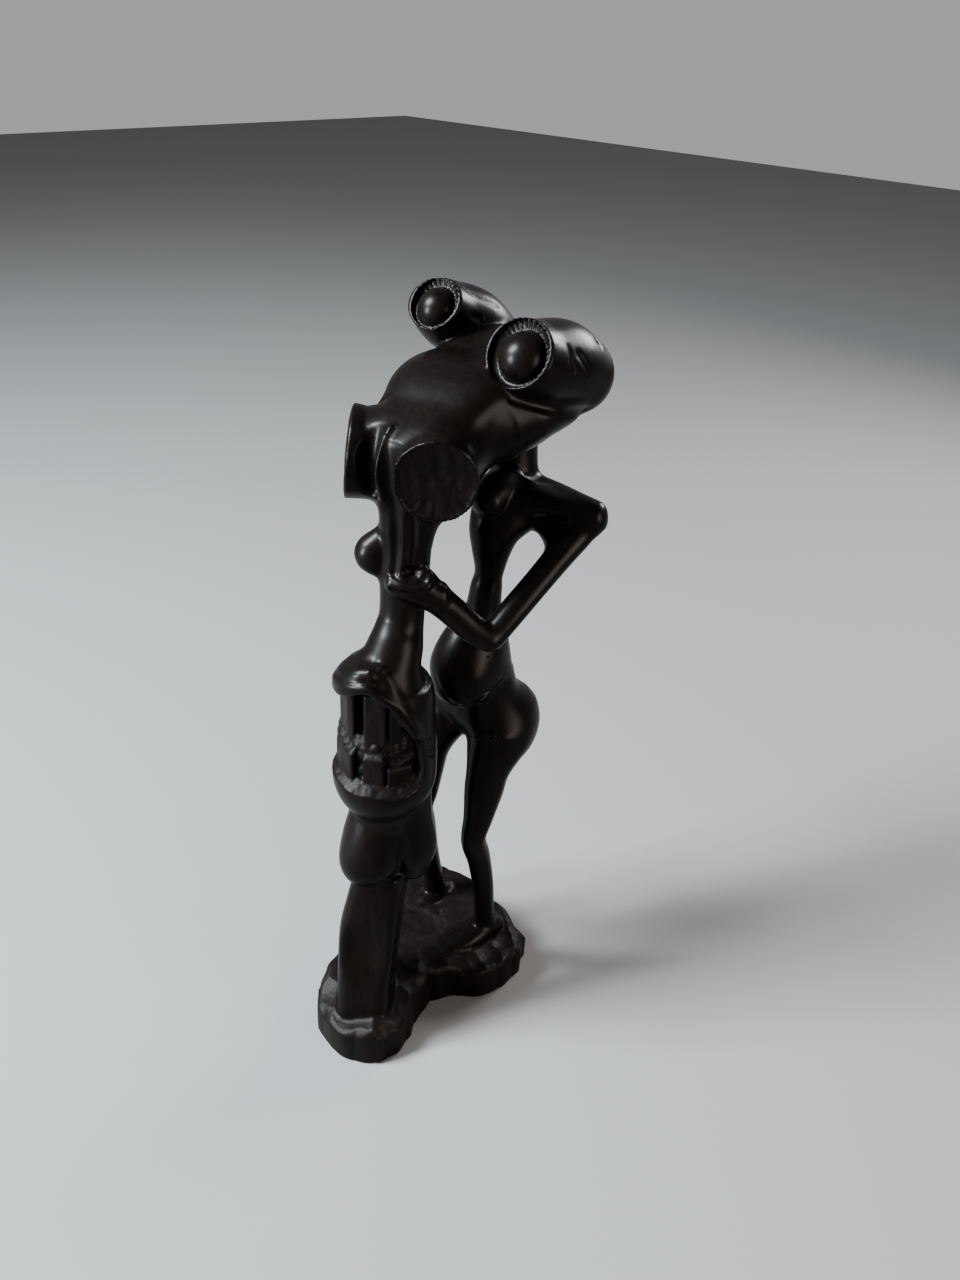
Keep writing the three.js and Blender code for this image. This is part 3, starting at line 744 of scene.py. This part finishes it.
def nets(depths):
    """Surface nets: one point in each cell that the surface crosses, at the mean of its crossings, and one
    quad round each grid line that crosses the surface."""
    inside = depths < 0
    shape = np.array(depths.shape) - 1
    count = np.zeros(shape, np.int8)
    for i, j, k in CORNERS:
        count += inside[i : i + shape[0], j : j + shape[1], k : k + shape[2]]
    cells = np.argwhere((count > 0) & (count < 8))
    del count
    total = np.zeros((len(cells), 3))
    crossings = np.zeros((len(cells), 1))
    for a in CORNERS:
        for axis in range(3):
            if a[axis]:
                continue
            b = tuple(c + (n == axis) for n, c in enumerate(a))
            va, vb = depths[tuple((cells + a).T)], depths[tuple((cells + b).T)]
            crossed = (va < 0) != (vb < 0)
            t = np.where(crossed, va / np.where(crossed, va - vb, 1), 0)[:, None]
            total += crossed[:, None] * (np.array(a) + t * (np.array(b) - a))
            crossings += crossed[:, None]
    points = cells + total / crossings
    flat = np.ravel_multi_index(cells.T, shape)
    quads = []
    for axis in range(3):
        others = [n for n in range(3) if n != axis]
        one = [slice(None)] * 3
        two = [slice(None)] * 3
        one[axis], two[axis] = slice(0, -1), slice(1, None)
        lines = np.argwhere(inside[tuple(one)] != inside[tuple(two)])
        lines = lines[(lines[:, others] > 0).all(1) & (lines[:, others] < shape[others]).all(1)]
        ring = []
        for back in ((1, 1), (0, 1), (0, 0), (1, 0)):
            cell = lines.copy()
            cell[:, others] -= back
            ring.append(np.searchsorted(flat, np.ravel_multi_index(cell.T, shape)))
        ring = np.array(ring).T
        turned = inside[tuple(lines.T)] ^ (axis == 1)
        ring[~turned] = ring[~turned][:, ::-1]
        quads.append(ring)
    return points, np.vstack(quads)


def sample(depths, points):
    """Depth and its gradient at points in grid steps, by weighting the eight corners of each point's cell."""
    cell = np.clip(np.floor(points).astype(int), 0, np.array(depths.shape) - 2)
    f = points - cell
    value = np.zeros(len(points))
    slope = np.zeros((len(points), 3))
    for corner in CORNERS:
        d = depths[tuple((cell + corner).T)]
        w = np.where(corner, f, 1 - f)
        value += d * w.prod(1)
        for axis in range(3):
            others = [n for n in range(3) if n != axis]
            slope[:, axis] += d * w[:, others].prod(1) * (1 if corner[axis] else -1)
    return value, slope


def settled(depths, points, rounds):
    """Points moved along the gradient until the depth there is nothing."""
    for _ in range(rounds):
        value, slope = sample(depths, points)
        step = value / np.maximum((slope**2).sum(1), 0.05)
        points = points - np.clip(step, -0.4, 0.4)[:, None] * slope
    return points


def mesh_from(name, points, faces):
    """A smooth-shaded mesh from arrays of points in millimetres and of faces."""
    mesh = bpy.data.meshes.new(name)
    mesh.from_pydata((points * MM).tolist(), [], faces.tolist())
    mesh.update()
    mesh.shade_smooth()
    return mesh


def thinned(item, share):
    """The piece's mesh with edges collapsed where the surface is flattest, down to a share of its
    triangles."""
    thin = item.modifiers.new("thin", "DECIMATE")
    thin.ratio = share
    thin.use_collapse_triangulate = True
    mesh = bpy.data.meshes.new_from_object(item.evaluated_get(bpy.context.evaluated_depsgraph_get()))
    item.modifiers.clear()
    mesh.shade_smooth()
    return mesh


def roughness_of(mesh):
    """How rough each point is: 0 where it lies on the finished form, rising to 1 at 0.8 mm from it."""
    place = np.empty(len(mesh.vertices) * 3, np.float32)
    mesh.vertices.foreach_get("co", place)
    place = place.reshape(-1, 3) / MM
    away = np.abs(sample(finished, (place - LOW) / STEP)[0])
    return smooth(away, 0.2, 0.8).astype(np.float32)


points, quads = nets(block)
points = settled(block, points, 2) * STEP + LOW
whole = mesh_from("whole", points, quads)
carving = bpy.data.objects.new("carving", whole)
bpy.context.scene.collection.objects.link(carving)
if len(quads) * 2 > TRIANGLES:
    carving.data = thinned(carving, TRIANGLES / (len(quads) * 2))
    bpy.data.meshes.remove(whole)
carving.data.name = "carving"
carving.data.attributes.new("rough", "FLOAT", "POINT").data.foreach_set("value", roughness_of(carving.data))

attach(carving, "root")
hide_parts("unity_figurine")


# The finish: darker and lighter brown of the polished wood and of the bare wood, and how rough each is
POLISHED = ((0.0005, 0.0003, 0.00026), (0.0021, 0.0012, 0.0009))
BARE = ((0.0005, 0.00035, 0.0003), (0.0028, 0.0014, 0.0011))
GLOSS = (0.33, 0.46)
BUMP = (0.05, 0.6)
BUMP_TALL = 0.6
# Sockets of a Mix node that hold its colours
COLOUR_A, COLOUR_B, COLOUR_OUT = 6, 7, 2


def wood():
    """Blackwood: near-black brown, polished, and duller and browner where the tools left it rough."""
    material = bpy.data.materials.new("blackwood")
    material.use_nodes = True
    nodes, links = material.node_tree.nodes, material.node_tree.links
    shader = nodes["Principled BSDF"]
    place = nodes.new("ShaderNodeTexCoord")
    rough = nodes.new("ShaderNodeAttribute")
    rough.attribute_name = "rough"

    def streaks(scale, stretch, detail, amount):
        """Noise stretched along the grain, which runs up the block."""
        turn = nodes.new("ShaderNodeMapping")
        turn.inputs["Scale"].default_value = (1, 1, stretch)
        links.new(place.outputs["Object"], turn.inputs["Vector"])
        noise = nodes.new("ShaderNodeTexNoise")
        noise.inputs["Scale"].default_value = scale
        noise.inputs["Detail"].default_value = detail
        noise.inputs["Roughness"].default_value = amount
        links.new(turn.outputs["Vector"], noise.inputs["Vector"])
        return noise.outputs["Fac"]

    def between(low, high):
        """Mixes two inputs, numbers or outputs, by how rough the surface is."""
        mix = nodes.new("ShaderNodeMix")
        for name, value in (("A", low), ("B", high), ("Factor", rough.outputs["Fac"])):
            if isinstance(value, (int, float)):
                mix.inputs[name].default_value = value
            else:
                links.new(value, mix.inputs[name])
        return mix.outputs["Result"]

    def browns(low, high, colours, share):
        """Two browns by the height of a noise."""
        ramp = nodes.new("ShaderNodeValToRGB")
        for element, position, colour in zip(ramp.color_ramp.elements, (low, high), colours):
            element.position = position
            element.color = (*colour, 1)
        links.new(share, ramp.inputs["Fac"])
        return ramp.outputs["Color"]

    grain = streaks(420, 0.07, 6, 0.6)
    chops = streaks(260, 0.3, 5, 0.65)
    colour = nodes.new("ShaderNodeMix")
    colour.data_type = "RGBA"
    links.new(rough.outputs["Fac"], colour.inputs["Factor"])
    links.new(browns(0.3, 0.8, POLISHED, grain), colour.inputs[COLOUR_A])
    links.new(browns(0.35, 0.75, BARE, chops), colour.inputs[COLOUR_B])
    links.new(colour.outputs[COLOUR_OUT], shader.inputs["Base Color"])
    links.new(between(*GLOSS), shader.inputs["Roughness"])
    bump = nodes.new("ShaderNodeBump")
    bump.inputs["Distance"].default_value = BUMP_TALL * MM
    links.new(between(*BUMP), bump.inputs["Strength"])
    links.new(between(grain, chops), bump.inputs["Height"])
    links.new(bump.outputs["Normal"], shader.inputs["Normal"])
    shader.inputs["Specular IOR Level"].default_value = 0.046
    shader.inputs["Specular Tint"].default_value = (1.0, 0.88, 0.8, 1)
    return material


carving.data.materials.clear()
carving.data.materials.append(wood())


# The stage, in metres: each lamp's name, place, target, size, power and colour
DAYLIGHT = (0.74, 0.89, 1.0)
LAMPS = [
    ("window", (-0.44, -0.60, 0.88), (0, 0, 0.16), (0.3, 0.42), 132, DAYLIGHT),
    ("low window", (-0.46, -1.02, 0.36), (0, 0, 0.12), (0.14, 0.32), 80, DAYLIGHT),
    ("back window", (0.10, 0.95, 0.60), (0, 0, 0.2), (0.4, 0.3), 21, (0.95, 0.97, 1.0)),
    ("side", (0.95, 0.10, 0.30), (0, 0, 0.16), (0.4, 0.5), 14, (1.0, 0.97, 0.93)),
]
ROOM_LIGHT = 0.4
FLOOR_HALF = 3.0
FLOOR_COLOUR = (0.095, 0.086, 0.08, 1)
# The camera: its place in millimetres, its turn, its tilt down and its roll in degrees, and its focal
# length in pixels of a frame this tall
CAMERA_PLACE = (238.64, -257.96, 377.0)
CAMERA_TURN, CAMERA_DOWN, CAMERA_ROLL = 40, 30, 3
FOCAL, FRAME_TALL = 1100, 1280
SENSOR_TALL = 36


def area_light(name, place, at, size, power, colour):
    """A rectangular lamp at a place, turned to a point."""
    lamp = bpy.data.lights.new(name, "AREA")
    lamp.shape = "RECTANGLE"
    lamp.size, lamp.size_y = size
    lamp.energy = power
    lamp.color = colour
    item = bpy.data.objects.new(name, lamp)
    item.location = place
    item.rotation_euler = (Vector(at) - Vector(place)).to_track_quat("-Z", "Y").to_euler()
    bpy.context.scene.collection.objects.link(item)


def camera():
    """The photograph's view: from the figure's front left and above, with a slight roll."""
    lens = bpy.data.cameras.new("camera")
    item = bpy.data.objects.new("camera", lens)
    turned, down, roll = math.radians(CAMERA_TURN), math.radians(CAMERA_DOWN), math.radians(CAMERA_ROLL)
    level = Vector((math.cos(turned), math.sin(turned), 0))
    ahead = Vector((-math.sin(turned) * math.cos(down), math.cos(turned) * math.cos(down), -math.sin(down)))
    upright = level.cross(ahead)
    right = math.cos(roll) * level + math.sin(roll) * upright
    up = math.cos(roll) * upright - math.sin(roll) * level
    item.matrix_world = Matrix((right, up, -ahead)).transposed().to_4x4()
    item.location = Vector(CAMERA_PLACE) * MM
    lens.sensor_fit = "VERTICAL"
    lens.sensor_height = SENSOR_TALL
    lens.lens = SENSOR_TALL * FOCAL / FRAME_TALL
    lens.clip_start = 0.01
    bpy.context.scene.collection.objects.link(item)
    bpy.context.scene.camera = item


def floor():
    """A wide pale floor."""
    mesh = bpy.data.meshes.new("floor")
    corners = [(side * FLOOR_HALF, end * FLOOR_HALF, 0) for side, end in ((-1, -1), (1, -1), (1, 1), (-1, 1))]
    mesh.from_pydata(corners, [], [(0, 1, 2, 3)])
    item = bpy.data.objects.new("floor", mesh)
    material = bpy.data.materials.new("floor")
    material.use_nodes = True
    shader = material.node_tree.nodes["Principled BSDF"]
    shader.inputs["Base Color"].default_value = FLOOR_COLOUR
    shader.inputs["Roughness"].default_value = 0.9
    mesh.materials.append(material)
    bpy.context.scene.collection.objects.link(item)


def room():
    """Even white light from all round."""
    world = bpy.data.worlds.new("world")
    world.use_nodes = True
    world.node_tree.nodes["Background"].inputs["Color"].default_value = (1, 1, 1, 1)
    world.node_tree.nodes["Background"].inputs["Strength"].default_value = ROOM_LIGHT
    bpy.context.scene.world = world


camera()
floor()
for lamp in LAMPS:
    area_light(*lamp)
room()
